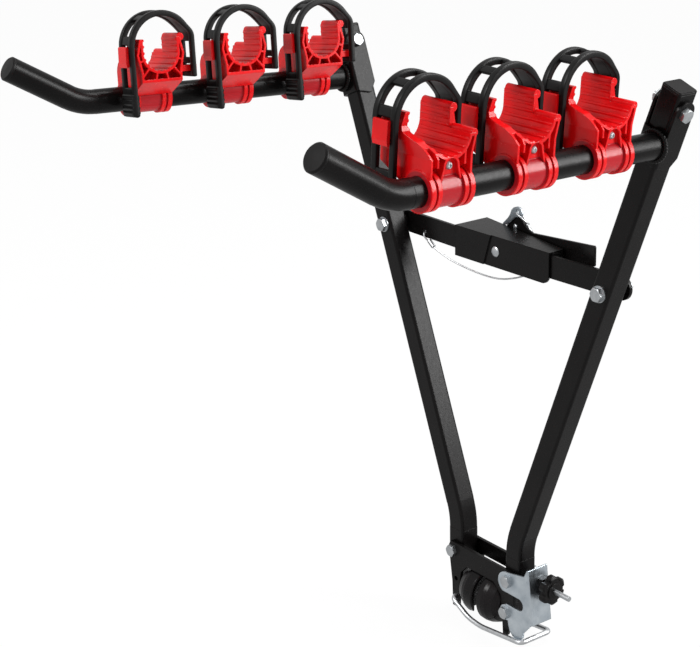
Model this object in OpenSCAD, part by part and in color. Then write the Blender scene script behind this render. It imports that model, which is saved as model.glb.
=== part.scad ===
// Tow ball bike carrier with two folding arms, six bike cradles and a folding brace.
// Millimetres, +Z up, origin at the centre of the tow ball, arms along -Y.

/* [Tow ball clamp] */
// Diameter of the tow ball
ball_d = 50; // [48:0.5:52]
// Clearance between the ball and the cups
ball_gap = 0.3; // [0.1:0.1:1]
// Wall of the cups at the rim
cup_wall = 5.5; // [4:0.5:7]
// Gap between the two cups
cup_split = 8; // [4:1:14]
// Thickness of the base plates
plate_t = 4; // [3:0.5:6]
// Height of the leg pivots above the ball centre
pivot_z = 41; // [40:1:48]
// Distance of each leg pivot from the middle
pivot_x = 50; // [48:1:54]
// Diameter of the leg pivot bolts
base_bolt_d = 8; // [7:1:10]
// Diameter of the cup bolt
cup_bolt_d = 8; // [6:1:8]
// Diameter of the small hole in the base plates
lock_hole_d = 6; // [4:0.5:8]
// Thickness of the lock plate
lock_t = 2.5; // [2:0.5:3]
// Diameter of the star knob over its lobes
knob_d = 36; // [30:1:40]
// Diameter of the stud
stud_d = 6; // [5:1:8]
// Wire of the bail
bail_d = 6; // [5:0.5:6]

/* [Legs] */
// Side of the square leg tube
leg_w = 25; // [24:0.5:26]
// Wall of the leg tube
leg_wall = 2; // [1.5:0.5:3]
// Outer corner radius of the leg tube
leg_corner = 3; // [2.5:0.5:4]
// Lean of the legs from vertical
leg_tilt = 21.2; // [20:0.2:22]
// Height of the bend above the pivot
leg_bend_z = 43; // [40:1:48]
// Centre line radius of the bend
leg_bend_r = 90; // [70:5:110]
// Leg length from the bend corner to the top
leg_len = 591.5; // [590:0.5:610]

/* [Brace] */
// Distance of the brace bolts from the bend corner along the legs
brace_u = 355.4; // [350:0.2:360]
// Width of the brace bars
bar_w = 26; // [24:1:28]
// Thickness of the brace bars
bar_t = 4; // [3:0.5:5]
// Diameter of the brace bolts
brace_bolt_d = 8; // [6:1:10]
// Diameter of the main rivet
rivet_d = 8; // [6:1:9]
// Sheet thickness of the channel
channel_t = 2.5; // [2:0.5:3]
// Wire of the lanyard
cord_d = 2; // [1.6:0.2:2]

/* [Arms] */
// Outside diameter of the arm tube
arm_d = 26.9; // [25:0.1:28]
// Wall of the arm tube
arm_wall = 2; // [1.5:0.5:3]
// Distance of the arm weld below the top of the leg
arm_drop = 56; // [54:0.5:58]
// Distance of the arm pivot below the top of the leg
arm_pivot_drop = 19; // [17:0.5:21]
// Outward turn of the arms
arm_toe = 3.8; // [2:0.2:5]
// Upward lean of the arms
arm_rise = 2; // [0:0.5:4]
// Straight length of the arm to its bend corner
arm_straight = 335; // [330:1:360]
// Upward bend at the front of the arm
arm_bend = 28.7; // [20:0.1:35]
// Centre line radius of the arm bend
arm_bend_r = 65; // [55:5:80]
// Length of the bent end of the arm
arm_end = 88.6; // [70:0.2:110]
// Sheet thickness of the arm brackets
bracket_t = 3; // [2.5:0.5:4]
// Diameter of the arm pivot bolts
arm_bolt_d = 8; // [6:1:10]

/* [Cradles] */
// Distance between neighbouring cradles
cradle_pitch = 102.3; // [100:0.1:105]
// Distance of the first right cradle from the bracket
cradle_first_right = 75.5; // [60:0.5:80]
// Distance of the first left cradle from the bracket
cradle_first_left = 54; // [52:0.5:60]
// Turn of the right cradles about their tube
cradle_roll_right = 2.5; // [0:0.5:8]
// Turn of the left cradles about their tube
cradle_roll_left = 6.5; // [0:0.5:8]
// Radius of the bike tube groove
groove_r = 20; // [19:0.5:21]
// Height of the groove axis above the arm axis
groove_h = 49; // [48:0.5:51]
// Half width of the cradle at the groove axis
jaw_half = 28; // [27:0.5:28]
// Top of the tall part above the arm axis
tall_h = 64; // [62:0.5:66]
// Top of the low part above the arm axis
low_h = 47; // [44:0.5:49]
// Length of the ring on the arm tube
ring_len = 50; // [46:1:54]
// Thickness of the straps
strap_t = 5; // [4:0.5:5.5]
// Width of the straps
strap_w = 29; // [27:1:30]

/* [Hidden] */
$fn = 64;
// Running clearance of pins and of sheet parts that slide past each other
run = 0.05;
slip = 0.3;
// Bent runs of tube lap into the straight runs by this angle and lie this much inside their skin
bend_lap = 0.5;
bend_slack = 0.15;
// Straight runs of the brace bars are this much narrower than their round ends
bar_neck = 0.2;

// Hexagons over their flats, heads and nuts
bolt_af = 13;
bolt_head = 5.3;
nut_h = 6.5;
// Radius and thickness of the washers under the brace bolts
plain_washer = [9, 1.6];

// Clamp
ball_r = ball_d / 2 + ball_gap;
cup_r = ball_r + cup_wall;
cup_end = ball_r + 10.5;
cup_shift = 3;
plate_y = leg_w / 2 + 0.5;
plate_out = plate_y + plate_t;
strip_z = cup_r - 2.2;
strip_back_z = strip_z + 5;
window_corner = 11;
plate_top = pivot_z + 11;
cup_bolt_x = pivot_x - 3;
lock_out = plate_out + lock_t;
lock_top = [82.5, pivot_z + 26];
lock_low = [90.5, 0.8];
lock_fold = 9;
stud_z = pivot_z + 4;
stud_in = 70;
stud_out = 131;
block_in = 79;
block_out = 93;
block_h = 20;
block_w = 2 * (lock_fold - lock_t - slip);
lock_slot = [69, 18.5];
lock_slot_r = 7.5;
base_bolt_proud = 9;
washer_t = 3;
knob_in = block_out + slip + washer_t + slip;
knob_len = 12;
bail_y = lock_out + slip + bail_d / 2;
bail_pivot = [-44.5, -17];
bail_end = [77, -26];
bail_line = [bail_pivot, [-15, -32], [7, -34.3], bail_end];

// Frame
corner_z = pivot_z + leg_bend_z;
leg_foot = 14;
bend_run = leg_bend_r * tan(leg_tilt / 2);
function leg_point(u) = [pivot_x + u * sin(leg_tilt), 0, corner_z + u * cos(leg_tilt)];

// Brace
brace_at = leg_point(brace_u);
channel_back = leg_w / 2 + 5.2;
channel_front = channel_back - channel_t;
proud_front = channel_front - 1.6;
bar_right_y = channel_back;
bar_left_y = channel_back + slip;
bar_left_back = bar_left_y + bar_t;
rivet_x = -12;
rivet_z = brace_at[2] - 2.5;
channel_under = rivet_z + bar_w / 2 + 2;
channel_top = channel_under + channel_t;
channel_low = rivet_z - 18.6;
channel_left = -80;
channel_right = 74;
channel_corner = 10;
bar_right_start = 30;
wedge_left = [channel_left, 62];
wedge_right = [channel_right, 37];
wedge_slope = (wedge_right[1] - wedge_left[1]) / (wedge_right[0] - wedge_left[0]);
wedge_turn = atan(wedge_slope);
wedge_t = channel_t * cos(wedge_turn);
function wedge_y(x) = wedge_left[1] + (x - wedge_left[0]) * wedge_slope;

// The handle lies along the slanted back wall, measured from its pivot at the outer face of that wall
tab_t = 2;
handle_t = 2.5;
handle_in = slip + tab_t;
handle_back = handle_in + handle_t;
handle_end = 140;
handle_tall = 22.7;
handle_eye = 12;
handle_step = 60;
function handle_top(x) = 17 + 0.1155 * x;
function on_handle(x, y, z) = [
  rivet_x + x * cos(wedge_turn) - y * sin(wedge_turn),
  wedge_y(rivet_x) + x * sin(wedge_turn) + y * cos(wedge_turn), rivet_z + z
];
tab_hole = [-5.3, 37.4];
crimp_from = [-1.5, handle_back + 3.2, 27.6];
crimp_step = [7.4, 0, -6.2];
spacer_r = 8;
eye_x = -141;
eye_z = brace_at[2] - 7.4;
cord_r = cord_d / 2;

// Arm and bracket
web_in = leg_w / 2 + slip;
web_out = web_in + bracket_t;
flange_out = leg_w / 2 + slip + bracket_t;
arm_u = leg_len - arm_drop;
arm_pivot_u = leg_len - arm_pivot_drop;
bracket_low = arm_u - 25.5;
web_low = arm_u - 21;
web_top = arm_u + 13.5;
bracket_back = leg_w / 2 - 0.1;
arm_side = 6.2;
arm_root = leg_point(arm_u) + [arm_side * cos(leg_tilt), -web_out, -arm_side * sin(leg_tilt)];
arm_r = arm_d / 2;
arm_bend_run = arm_bend_r * tan(arm_bend / 2);

// Cradle and strap
bore_r = arm_r + run;
band_r = arm_r + 3.05;
flange_r = arm_r + 5.25;
cradle_in = -49;
step_back = -12;
step_front = -19.5;
cradle_out = 14;
waist_half = 24;
lip_half = 24;
roll_r = 4.2;
ridge_r = 1.7;
ridge_step = 20;
strap_mid = cradle_in + strap_w / 2;
strap_in = jaw_half + 5;
strap_out = strap_in + strap_t;
strap_s = -3;
strap_face = strap_s + strap_out;
strap_back = strap_in + 4;
strap_h = tall_h - 9;
strap_arc = 138;
strap_foot = -18;
strap_tip = 20;
window_w = 16;
hook_bar = 36;
hook_top = 57;
hook_h = 43;
peg_h = 26;
screw_x = 10;
screw_h = 21.5;
boss_r = 9.2;
screw_r = 3.4;
function cradle_at(side, i) = (side > 0 ? cradle_first_right : cradle_first_left) + (i - 1) * cradle_pitch;
function cradle_roll(side) = side > 0 ? cradle_roll_right : cradle_roll_left;

// Frames and shared shapes
module on_side(side) {
  if (side < 0) mirror([1, 0, 0]) children();
  else children();
}

module leg_frame(side) {
  on_side(side) translate([pivot_x, 0, corner_z]) rotate([0, leg_tilt, 0]) children();
}

module arm_frame(side) {
  on_side(side) translate(arm_root) rotate([-arm_rise, 0, arm_toe]) children();
}

module cradle_frame(side, i) {
  arm_frame(side) translate([0, -cradle_at(side, i), 0]) rotate([0, cradle_roll(side), 0]) children();
}

// Drawing in X and Z, thickness t from y0 towards +Y
module plate_xz(y0, t) {
  translate([0, y0 + t, 0]) rotate([90, 0, 0]) linear_extrude(t) children();
}

// Drawing in forward distance and height, length t from x0 towards +X
module bar_x(x0, t) {
  translate([x0, 0, 0]) rotate([90, 0, 90]) linear_extrude(t) mirror([1, 0]) children();
}

// Round bar along Y between two Y values
module pin_y(x, z, r, y0, y1) {
  translate([x, y0, z]) rotate([-90, 0, 0]) cylinder(r = r, h = y1 - y0);
}

// Round bar along X between two X values
module pin_x(y, z, r, x0, x1) {
  translate([x0, y, z]) rotate([0, 90, 0]) cylinder(r = r, h = x1 - x0);
}

module rounded_square(w, r) {
  polygon([
    for (q = [0:3], k = [0:4])
      let (a = q * 90 + k * 22.5, c = [[1, 1], [-1, 1], [-1, -1], [1, -1]][q])
        (w / 2 - r) * c + r * [cos(a), sin(a)]
  ]);
}

// Hexagon standing on Z with a chamfered top
module hex_head(af, h) {
  intersection() {
    linear_extrude(h) circle(d = af / cos(30), $fn = 6);
    rotate_extrude()
      polygon([[0, 0], [af / 2 + 2, 0], [af / 2 + 2, h - 1.3], [af / 2 - 0.4, h], [0, h]]);
  }
}

// Nut standing on Z with its thread hole
module hex_nut(af, h, r) {
  difference() {
    hex_head(af, h);
    translate([0, 0, -1]) cylinder(r = r, h = h + 2);
  }
}

// Clamp
module base_outline(strip, corner) {
  flank = cup_end - 5 + 0.4 * corner;
  top = cup_end - 5 - 0.6 * corner;
  difference() {
    polygon([
      [-pivot_x - 4, plate_top], [pivot_x + 4, plate_top], [pivot_x + 8, plate_top - 6],
      [pivot_x + 7, -6], [pivot_x - 3, -31], [pivot_x - 10, -31], [cup_end + 2, 0],
      [flank, strip - corner], [top, strip], [-top, strip], [-flank, strip - corner],
      [-cup_end - 2, 0], [-pivot_x + 10, -31], [-pivot_x, -31], [-pivot_x - 1, 0],
      [-pivot_x - 5, plate_top - 24], [-pivot_x - 7, plate_top - 6]
    ]);
    for (side = [-1, 1]) translate([side * pivot_x, pivot_z]) circle(d = base_bolt_d + 2 * run);
    translate([cup_bolt_x, 0]) circle(d = cup_bolt_d + 2 * run);
    translate([-cup_bolt_x + 3, 6]) circle(d = lock_hole_d);
    translate(bail_pivot) circle(d = bail_d + 2 * run);
  }
}

module base_plate_front() color("#1d1e20")
  plate_xz(-plate_out, plate_t) base_outline(strip_z, window_corner);

module base_plate_back() color("#1d1e20")
  plate_xz(plate_y, plate_t) base_outline(strip_back_z, window_corner / 6);

module cup(side) {
  inner = cup_split / 2 + side * cup_shift;
  difference() {
    union() {
      on_side(side) rotate([0, 90, 0]) rotate_extrude()
        polygon([
          [0, inner], [cup_r - 1, inner], [cup_r, inner + 1.5], [cup_r, 15], [cup_r - 1.2, 20],
          [cup_r - 5.4, 28.6], [cup_r - 13.5, cup_end - 1.5], [cup_r - 19, cup_end], [0, cup_end]
        ]);
      on_side(side) translate([ball_r, -plate_y, -9]) cube([pivot_x + 2 - ball_r, 2 * plate_y, 19]);
    }
    sphere(r = ball_r);
    translate([0, 0, -cup_r - 5]) cylinder(r = ball_r, h = cup_r + 5);
    if (side > 0) pin_y(cup_bolt_x, 0, cup_bolt_d / 2 + run, -plate_y - 1, plate_y + 1);
    if (side < 0) pin_y(-cup_bolt_x + 3, 6, lock_hole_d / 2, -plate_y - 1, plate_y + 1);
  }
}

module cup_left() color("#26272a") cup(-1);

module cup_right() color("#26272a") cup(1);

module base_bolt(x, y0) {
  translate([x, y0, pivot_z]) rotate([90, 0, 0]) hex_head(bolt_af, bolt_head);
  pin_y(x, pivot_z, base_bolt_d / 2, y0 - 1, plate_out + base_bolt_proud);
}

module base_bolts() color("#b9bcc0") {
  base_bolt(-pivot_x, -plate_out);
  base_bolt(pivot_x, -lock_out);
}

module base_nut(x, y0) {
  translate([x, y0, pivot_z]) rotate([-90, 0, 0]) hex_nut(bolt_af, nut_h, base_bolt_d / 2);
}

module base_nuts() color("#b9bcc0") {
  base_nut(-pivot_x, plate_out);
  base_nut(pivot_x, plate_out);
}

module cup_bolt() color("#b9bcc0") {
  translate([cup_bolt_x, -lock_out, 0]) rotate([90, 0, 0]) hex_head(bolt_af, bolt_head);
  pin_y(cup_bolt_x, 0, cup_bolt_d / 2, -lock_out - 1, plate_out + 10);
}

module cup_nut() color("#b9bcc0") {
  translate([cup_bolt_x, plate_out, 0]) rotate([-90, 0, 0]) hex_nut(bolt_af, nut_h, cup_bolt_d / 2);
}

module lock_ear() {
  difference() {
    union() {
      translate([pivot_x - 3, pivot_z - 3]) circle(r = 13);
      translate([cup_bolt_x, 0]) circle(r = 9.5);
      polygon([
        [pivot_x - 5, pivot_z + 9.5], [lock_top[0] - 5, lock_top[1] - 10], lock_top, lock_low,
        [lock_low[0] - 14, lock_low[1] - 16], [lock_low[0] - 14.5, lock_low[1] - 22],
        [lock_low[0] - 18, lock_low[1] - 26], [lock_low[0] - 24, lock_low[1] - 28],
        [lock_low[0] - 31, lock_low[1] - 26.5], [lock_low[0] - 36, lock_low[1] - 22],
        [lock_low[0] - 38.5, lock_low[1] - 15], [cup_bolt_x + 4, -9], [cup_bolt_x, -9], [cup_bolt_x, pivot_z]
      ]);
    }
    translate(lock_slot) circle(r = lock_slot_r);
    translate([0, lock_slot[1] - lock_slot_r]) square([lock_slot[0], 2 * lock_slot_r]);
    translate([pivot_x, pivot_z]) circle(d = base_bolt_d + 2 * run);
    translate([cup_bolt_x, 0]) circle(d = cup_bolt_d + 2 * run);
  }
}

module lock_plate() color("#c3c5c6") {
  difference() {
    union() {
      plate_xz(-lock_out, lock_out + lock_fold)
        polygon([
          lock_top, lock_low, [lock_low[0] + lock_t, lock_low[1] + 0.5],
          [lock_top[0] + lock_t, lock_top[1] + 0.5]
        ]);
      plate_xz(lock_fold - lock_t, lock_t)
        polygon([
          [lock_top[0] + 1, lock_top[1]], [lock_low[0] + 1, lock_low[1]],
          [lock_low[0] - 16, lock_low[1] + 5], [lock_top[0] - 12, lock_top[1] - 15]
        ]);
    }
    translate([stud_in, -block_w / 2, stud_z - block_h / 2]) cube([2 * block_h, block_w, block_h]);
  }
  plate_xz(-lock_out, lock_t) lock_ear();
}

module knob_stud() color("#c9ccd0") pin_x(0, stud_z, stud_d / 2, stud_in, stud_out);

module stud_block() color("#1a1a1b") difference() {
  translate([block_in, -block_w / 2, stud_z - block_h / 2]) cube([block_out - block_in, block_w, block_h]);
  pin_x(0, stud_z, stud_d / 2, block_in - 1, block_out + 1);
}

module knob_washer() color("#2a2a2c") difference() {
  pin_x(0, stud_z, 9, block_out + slip, block_out + slip + washer_t);
  pin_x(0, stud_z, stud_d / 2 + run, block_out, block_out + 10);
}

module star_outline() {
  circle(r = knob_d * 0.36);
  for (k = [0:5]) rotate(k * 60) translate([knob_d * 0.36, 0]) circle(r = knob_d * 0.14);
}

module star_knob() color("#161617") difference() {
  translate([knob_in, 0, stud_z]) rotate([0, 90, 0]) intersection() {
    union() {
      cylinder(r = knob_d * 0.27, h = knob_len);
      translate([0, 0, 2]) linear_extrude(knob_len - 3.5) star_outline();
    }
    rotate_extrude()
      polygon([
        [0, 0], [knob_d / 2 - 3, 0], [knob_d / 2, 3], [knob_d / 2, knob_len - 4],
        [knob_d / 2 - 3, knob_len - 1.5], [knob_d / 4, knob_len], [0, knob_len]
      ]);
  }
  pin_x(0, stud_z, stud_d / 2 + run, knob_in - 1, knob_in + knob_len + 1);
}

// Straight wire between two points of the XZ drawing at one Y
module wire_run(a, b, y) {
  len = norm(b - a);
  lean = atan2(b[0] - a[0], b[1] - a[1]);
  translate([a[0], y, a[1]]) rotate([0, lean, 0]) cylinder(d = bail_d, h = len);
  translate([a[0], y, a[1]]) sphere(d = bail_d + 0.4);
}

module bail_wire() color("#c9ccd0") {
  for (side = [-1, 1]) {
    for (k = [0:len(bail_line) - 2]) wire_run(bail_line[k], bail_line[k + 1], side * bail_y);
    translate([bail_end[0], side * bail_y, bail_end[1]]) sphere(d = bail_d + 0.4);
    mirror([0, side < 0 ? 1 : 0, 0]) pin_y(bail_pivot[0], bail_pivot[1], bail_d / 2, plate_y - 0.6, bail_y);
  }
  pin_y(bail_end[0], bail_end[1], bail_d / 2, -bail_y, bail_y);
}

// Frame
module leg_section(slack = 0) {
  difference() {
    rounded_square(leg_w - 2 * slack, leg_corner);
    rounded_square(leg_w - 2 * leg_wall + 2 * slack, leg_corner - 1);
  }
}

module leg(side) {
  difference() {
    union() {
      on_side(side) translate([pivot_x, 0, pivot_z - leg_foot])
        linear_extrude(leg_foot + leg_bend_z - bend_run) leg_section();
      on_side(side) translate([pivot_x + leg_bend_r, 0, corner_z - bend_run]) mirror([1, 0, 0])
        rotate([90, 0, 0]) rotate(-bend_lap) rotate_extrude(angle = leg_tilt + 2 * bend_lap)
          translate([leg_bend_r, 0]) leg_section(bend_slack);
      leg_frame(side) translate([0, 0, bend_run]) linear_extrude(leg_len - bend_run) leg_section();
    }
    pin_y(side * pivot_x, pivot_z, base_bolt_d / 2 + run, -leg_w, leg_w);
    pin_y(side * brace_at[0], brace_at[2], brace_bolt_d / 2 + run, -leg_w, leg_w);
    leg_frame(side) pin_x(0, arm_pivot_u, arm_bolt_d / 2 + run, -leg_w, leg_w);
  }
}

module leg_left() color("#17181a") leg(-1);

module leg_right() color("#17181a") leg(1);

module leg_cap(side) {
  leg_frame(side) translate([0, 0, leg_len]) {
    linear_extrude(2) rounded_square(leg_w, leg_corner);
    translate([0, 0, 1.9]) linear_extrude(1.1) rounded_square(leg_w - 2, leg_corner - 1);
    translate([0, 0, -12]) linear_extrude(12.1) rounded_square(leg_w - 2 * leg_wall - 0.4, leg_corner - 1);
  }
}

module leg_cap_left() color("#101011") leg_cap(-1);

module leg_cap_right() color("#101011") leg_cap(1);

// Brace
module brace_bolt(side, y1) {
  seat = -leg_w / 2 - plain_washer[1];
  translate([side * brace_at[0], seat, brace_at[2]]) rotate([90, 0, 0]) hex_head(bolt_af + 1, bolt_head);
  pin_y(side * brace_at[0], brace_at[2], plain_washer[0], seat, -leg_w / 2);
  pin_y(side * brace_at[0], brace_at[2], brace_bolt_d / 2, seat - 1, y1);
}

module brace_bolt_left() color("#b9bcc0") brace_bolt(-1, bar_left_back + 10);

module brace_bolt_right() color("#b9bcc0") brace_bolt(1, bar_right_y - slip);

module brace_spacer(side, y1) {
  difference() {
    pin_y(side * brace_at[0], brace_at[2], spacer_r, leg_w / 2, y1);
    pin_y(side * brace_at[0], brace_at[2], brace_bolt_d / 2 + run, leg_w / 2 - 1, y1 + 1);
  }
}

module brace_spacer_left() color("#a7aaad") brace_spacer(-1, bar_left_y - slip);

module brace_spacer_right() color("#a7aaad") brace_spacer(1, bar_right_y - slip);

module brace_nut_left() color("#b9bcc0") {
  translate([-brace_at[0], bar_left_back + slip, brace_at[2]]) rotate([-90, 0, 0])
    hex_nut(bolt_af, nut_h, brace_bolt_d / 2);
}

module brace_nut_right() color("#b9bcc0") {
  translate([brace_at[0], bar_right_y + bar_t, brace_at[2]]) rotate([-90, 0, 0]) hex_head(bolt_af, nut_h);
  pin_y(brace_at[0], brace_at[2], brace_bolt_d / 2, bar_right_y, bar_right_y + bar_t + 10);
}

module brace_bar_left() color("#1a1b1d") plate_xz(bar_left_y, bar_t) {
  span = [rivet_x + brace_at[0], rivet_z - brace_at[2]];
  difference() {
    union() {
      translate([-brace_at[0], brace_at[2]]) {
        circle(d = bar_w);
        rotate(atan2(span[1], span[0])) translate([0, -bar_w / 2 + bar_neck])
          square([norm(span), bar_w - 2 * bar_neck]);
      }
      translate([rivet_x, rivet_z]) circle(d = bar_w);
    }
    translate([-brace_at[0], brace_at[2]]) circle(d = brace_bolt_d + 2 * run);
    translate([rivet_x, rivet_z]) circle(d = rivet_d + 2 * run);
    translate([eye_x, eye_z]) circle(d = 3 * cord_d);
  }
}

module brace_bar_right() color("#1a1b1d") plate_xz(bar_right_y, bar_t) {
  span = [brace_at[0] - rivet_x, brace_at[2] - rivet_z];
  start = bar_right_start - rivet_x;
  difference() {
    union() {
      translate([rivet_x, rivet_z]) rotate(atan2(span[1], span[0]))
        translate([start, -bar_w / 2 + bar_neck]) square([norm(span) - start, bar_w - 2 * bar_neck]);
      translate([brace_at[0], brace_at[2]]) circle(d = bar_w);
    }
    translate([brace_at[0], brace_at[2]]) circle(d = brace_bolt_d + 2 * run);
  }
}

module handle_frame() {
  translate([rivet_x, wedge_y(rivet_x), rivet_z]) rotate([0, 0, wedge_turn]) children();
}

module brace_channel() color("#17181a") difference() {
  union() {
    plate_xz(proud_front, channel_t)
      polygon([
        [channel_left, channel_low], [-31, channel_low], [-19, channel_top], [channel_left, channel_top]
      ]);
    plate_xz(channel_front, channel_t)
      polygon(concat(
        [[channel_right, channel_top], [-22, channel_top], [-34, channel_low]],
        [for (a = [-90:15:0]) [channel_right - channel_corner, channel_low + channel_corner]
          + channel_corner * [cos(a), sin(a)]]
      ));
    translate([0, 0, channel_under]) linear_extrude(channel_t)
      polygon([
        [channel_left, proud_front], [-19, proud_front], [-19, channel_front], [channel_right, channel_front],
        wedge_right, wedge_left
      ]);
    translate([0, 0, channel_low + 6]) linear_extrude(channel_top - channel_low - 6)
      polygon([
        wedge_right, wedge_left, [wedge_left[0], wedge_left[1] - channel_t],
        [wedge_right[0], wedge_right[1] - channel_t]
      ]);
  }
  pin_y(rivet_x, rivet_z, rivet_d / 2 + run, 0, bar_left_back + 10);
  handle_frame() pin_y(0, 0, rivet_d / 2 + run, -10, 10);
}

module brace_rivet() color("#c9ccd0") {
  pin_y(rivet_x, rivet_z, rivet_d / 2, channel_front - 1, bar_left_back + slip + 2);
  translate([rivet_x, channel_front, rivet_z]) rotate([90, 0, 0])
    rotate_extrude() polygon([[0, 0], [6, 0], [6, 0.6], [4.6, 1.7], [2, 2.3], [0, 2.3]]);
  pin_y(rivet_x, rivet_z, 6.5, bar_left_back + slip, bar_left_back + slip + 3);
  handle_frame() {
    pin_y(0, 0, rivet_d / 2, -wedge_t - 1, handle_back + slip + 1);
    pin_y(0, 0, 6, -wedge_t - 1.8, -wedge_t);
    pin_y(0, 0, 6, handle_back + slip, handle_back + slip + 1.8);
  }
}

module brace_handle() color("#141516") handle_frame() plate_xz(handle_in, handle_t) difference() {
  polygon(concat(
    [for (a = [180:10:280]) handle_eye * [cos(a), sin(a)]],
    [[handle_step, handle_top(handle_step) - handle_tall],
     [handle_end - 1.5, handle_top(handle_end) - handle_tall],
     [handle_end, handle_top(handle_end) - handle_tall + 1.5], [handle_end, handle_top(handle_end) - 1.5],
     [handle_end - 1.5, handle_top(handle_end)], [22, handle_top(22)], [14, 21.5], [5, 26], [2, 31],
     [-6, 32], [-12, 33], [-24, 26], [-30, 16], [-24, 6]]
  ));
  circle(r = rivet_d / 2 + run);
}

module pull_tab() color("#c3c5c6") handle_frame() plate_xz(slip, tab_t) difference() {
  polygon([
    [-37.4, 15], [-34.4, 19.3], [-25, 26.8], [-20.6, 32], [-17.5, 38], [-13, 41.6], [-7, 43.8], [-2, 44],
    [2, 42.4], [4.3, 38.7], [3.4, 35.4], [0.4, 33.2], [-5, 31.8], [-11, 30], [-16, 26.6], [-21, 22], [-28, 18]
  ]);
  translate(tab_hole) circle(r = 2.6);
}

module tab_rivet() color("#d0d2d4") handle_frame() translate([-12, handle_in, 19]) rotate([90, 0, 0])
  rotate_extrude() polygon([[0, 0], [3.4, 0], [3.2, 0.6], [2.2, 1.4], [0, 1.7]]);

// Four points in a line, with the right crimp between the middle two
function crimp_at(k) = let (p = crimp_from + k * crimp_step) on_handle(p[0], p[1], p[2]);

// Route of the lanyard, chosen by hand
cord_route = [
  [eye_x + 9, bar_left_back - 0.7, eye_z - 11], [eye_x + 4, bar_left_back + 1.8, eye_z - 6],
  [eye_x + 1, bar_left_back + 1.7, eye_z - 1.5], [eye_x, bar_left_y + 2, eye_z],
  [eye_x + 1, bar_left_y - 1.7, eye_z - 1.5], [eye_x + 4, bar_left_y - 1.8, eye_z - 6],
  [eye_x + 9, bar_left_y + 0.7, eye_z - 11], [eye_x + 18, bar_left_y + 2, eye_z - 17],
  [eye_x + 42, bar_left_y + 7, eye_z - 27], [eye_x + 79, bar_left_y + 12, eye_z - 33.5],
  [eye_x + 112, bar_left_y + 15, eye_z - 34], [eye_x + 136, bar_left_y + 20, eye_z - 29],
  [eye_x + 152, bar_left_y + 27, eye_z - 22], on_handle(27, 3, -23), on_handle(31, handle_back + 6, -4),
  crimp_at(3), crimp_at(2), crimp_at(1), crimp_at(0),
  on_handle(tab_hole[0] + 1.8, slip + tab_t + 2, tab_hole[1] - 1),
  on_handle(tab_hole[0], slip + tab_t / 2, tab_hole[1]),
  on_handle(tab_hole[0] + 1.6, -1.6, tab_hole[1] - 0.6), on_handle(tab_hole[0] + 8, -1.2, tab_hole[1] - 3),
  on_handle(tab_hole[0] + 12.5, slip + tab_t + 1, tab_hole[1] - 8.6),
  crimp_at(0.7) + [2.2, 0.4, 2]
];
cord_steps = 4;
function spline(a, b, c, d, t) =
  b + 0.5 * t * ((c - a) + t * ((2 * a - 5 * b + 4 * c - d) + t * (3 * b - a - 3 * c + d)));
function route_at(p, k) = p[max(0, min(len(p) - 1, k))];
function smooth(p) = [
  for (k = [0:len(p) - 2], j = [0:cord_steps - 1])
    spline(route_at(p, k - 1), p[k], p[k + 1], route_at(p, k + 2), j / cord_steps),
  p[len(p) - 1]
];
function unit(v) = v / norm(v);
function tangents(p) = [for (k = [0:len(p) - 1]) unit(route_at(p, k + 1) - route_at(p, k - 1))];
function carried(n, t) = unit(n - (n * t) * t);
function normals(t, k = 0, n = [0, 0, 1]) =
  k == len(t) ? [] : let (m = carried(n, t[k])) concat([m], normals(t, k + 1, m));

module cord(p, r, sides) {
  t = tangents(p);
  n = normals(t);
  pts = [
    for (k = [0:len(p) - 1], j = [0:sides - 1])
      p[k] + r * (cos(360 * j / sides) * n[k] + sin(360 * j / sides) * cross(t[k], n[k]))
  ];
  sides_faces = [
    for (k = [0:len(p) - 2], j = [0:sides - 1])
      let (a = k * sides + j, b = k * sides + (j + 1) % sides) [a, a + sides, b + sides, b]
  ];
  ends = [
    [for (j = [0:sides - 1]) j],
    [for (j = [0:sides - 1]) len(p) * sides - 1 - j]
  ];
  polyhedron(points = pts, faces = concat(sides_faces, ends));
}

module lanyard_wire() color("#9fa3a7") cord(smooth(cord_route), cord_r, 8);

module crimp(a, b, r) {
  d = b - a;
  translate(a) rotate([0, acos(d[2] / norm(d)), atan2(d[1], d[0])]) cylinder(r = r, h = norm(d));
}

module lanyard_crimp_left() color("#b9bcc0")
  crimp(cord_route[6] + [-1.5, 0.7, 1.7], cord_route[6] + [6, 0.9, -4.1], 2.8);

module lanyard_crimp_right() color("#b9bcc0") difference() {
  crimp(crimp_at(1.05), crimp_at(1.95), cord_r + 1.3);
  crimp(crimp_at(0), crimp_at(3), cord_r + run);
}

// Arms
module bracket_section() {
  difference() {
    union() {
      translate([-flange_out, -web_out + 4]) square([2 * flange_out, 40]);
      translate([-flange_out + 4, -web_out]) square([2 * flange_out - 8, 10]);
      for (x = [-1, 1]) translate([x * (flange_out - 4), -web_out + 4]) circle(r = 4);
    }
    translate([-leg_w / 2 - slip, -web_in]) square([leg_w + 2 * slip, 60]);
  }
}

// Side view with the forward distance across and the leg distance up
module bracket_side() {
  polygon(concat(
    [[web_in, web_top + 2], [web_in, web_top], [web_out, web_top], [web_out, web_low], [-4, bracket_low],
     [-bracket_back, bracket_low + 12]],
    [for (a = [180:-7.5:0]) [bracket_back * cos(a), arm_pivot_u + bracket_back * sin(a)]]
  ));
}

module arm_bracket(side) {
  leg_frame(side) difference() {
    intersection() {
      translate([0, 0, bracket_low - 1]) linear_extrude(arm_pivot_u - bracket_low + 20) bracket_section();
      bar_x(-flange_out - 1, 2 * flange_out + 2) bracket_side();
    }
    pin_x(0, arm_pivot_u, arm_bolt_d / 2 + run, -leg_w, leg_w);
  }
}

module arm_bracket_left() color("#17181a") arm_bracket(-1);

module arm_bracket_right() color("#17181a") arm_bracket(1);

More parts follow.
